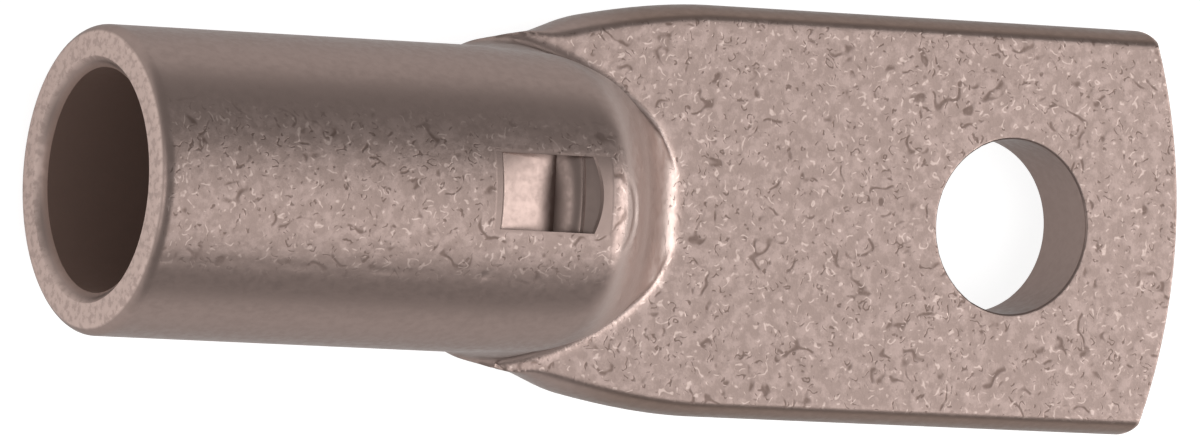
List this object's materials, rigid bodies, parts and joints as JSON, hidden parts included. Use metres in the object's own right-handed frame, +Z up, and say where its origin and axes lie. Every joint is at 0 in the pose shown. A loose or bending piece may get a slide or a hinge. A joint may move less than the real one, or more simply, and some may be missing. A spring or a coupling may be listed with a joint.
{
  "type": "tubular cable lug",
  "caption": "A tin-plated copper tube lug: round crimp barrel, pressed neck with a rounded nose and a stop notch, and a flat palm with a stud hole.",
  "frame": {"origin": "centre of the stud hole, on the underside of the palm", "axes": "+X along the lug towards the palm's tip, +Y across it, +Z up out of the palm's top face"},
  "size_m": [0.0618, 0.0198, 0.0145],
  "materials": {
    "tinned_copper": "tin-plated copper, satin, tumbled"
  },
  "bodies": {
    "root": {"cable_lug": "tinned_copper"}
  },
  "joints": []
}
